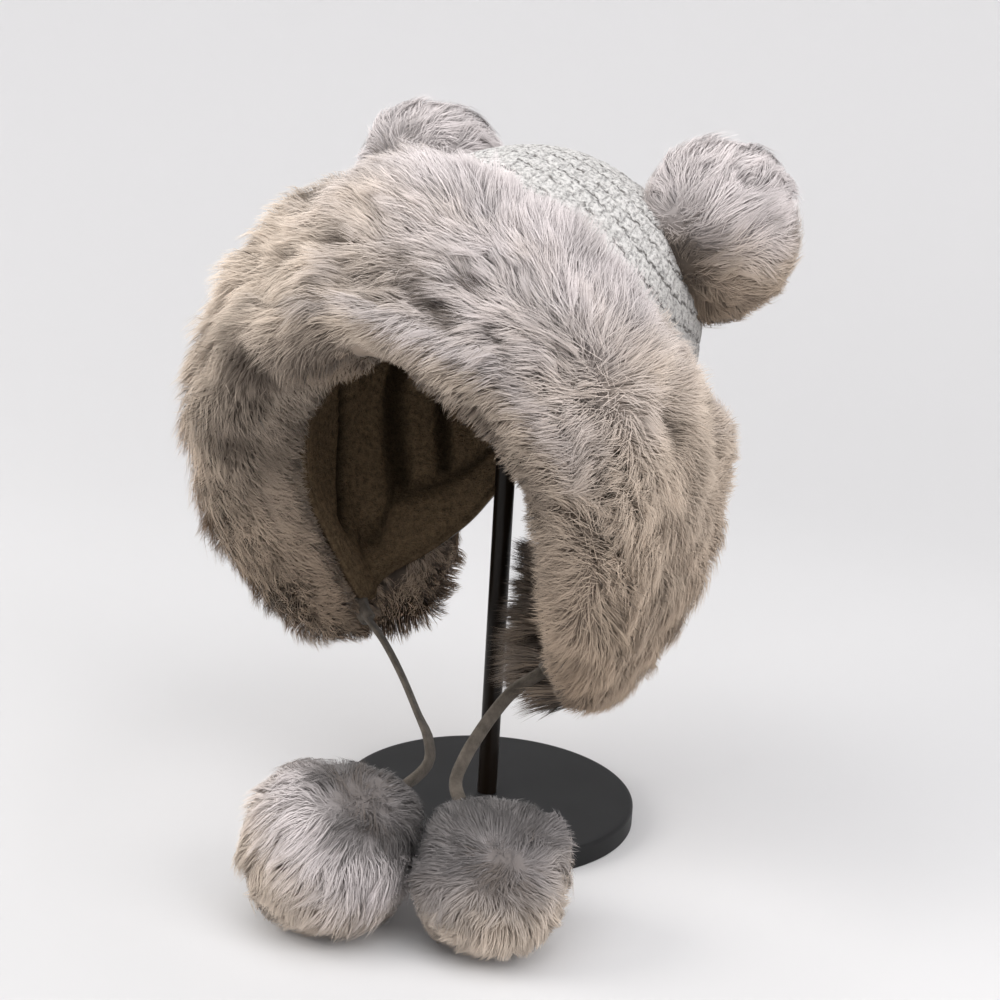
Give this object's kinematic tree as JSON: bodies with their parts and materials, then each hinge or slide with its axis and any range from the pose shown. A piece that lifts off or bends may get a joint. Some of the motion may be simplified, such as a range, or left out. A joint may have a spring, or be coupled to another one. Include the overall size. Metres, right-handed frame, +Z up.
{
  "type": "knit trapper hat on a display stand",
  "caption": "Knit trapper hat with plush lining, deep fur trim, ear flaps, ear pompoms and hanging ties with pompoms, resting on a round-based display stand.",
  "frame": {"origin": "centre of the stand base's flat underside", "axes": "+X towards the wearer's left, the hat faces -Y, +Z up"},
  "size_m": [0.2523, 0.2895, 0.3588],
  "materials": {
    "knit": "chunky light grey knit",
    "lining": "short brown plush",
    "fur": "long grey-taupe faux fur",
    "tie": "brushed suede-like strip",
    "stand": "black, satin top and glossy edge"
  },
  "bodies": {
    "root": {"knit_crown": "knit", "plush_lining": "lining", "fur_trim": "fur", "ear_pompom_left": "fur", "ear_pompom_right": "fur", "tie_pompom_left": "fur", "tie_pompom_right": "fur", "tie_left": "tie", "tie_right": "tie", "stand_base": "stand", "stand_pole": "stand", "stand_dome": "stand"}
  },
  "joints": []
}
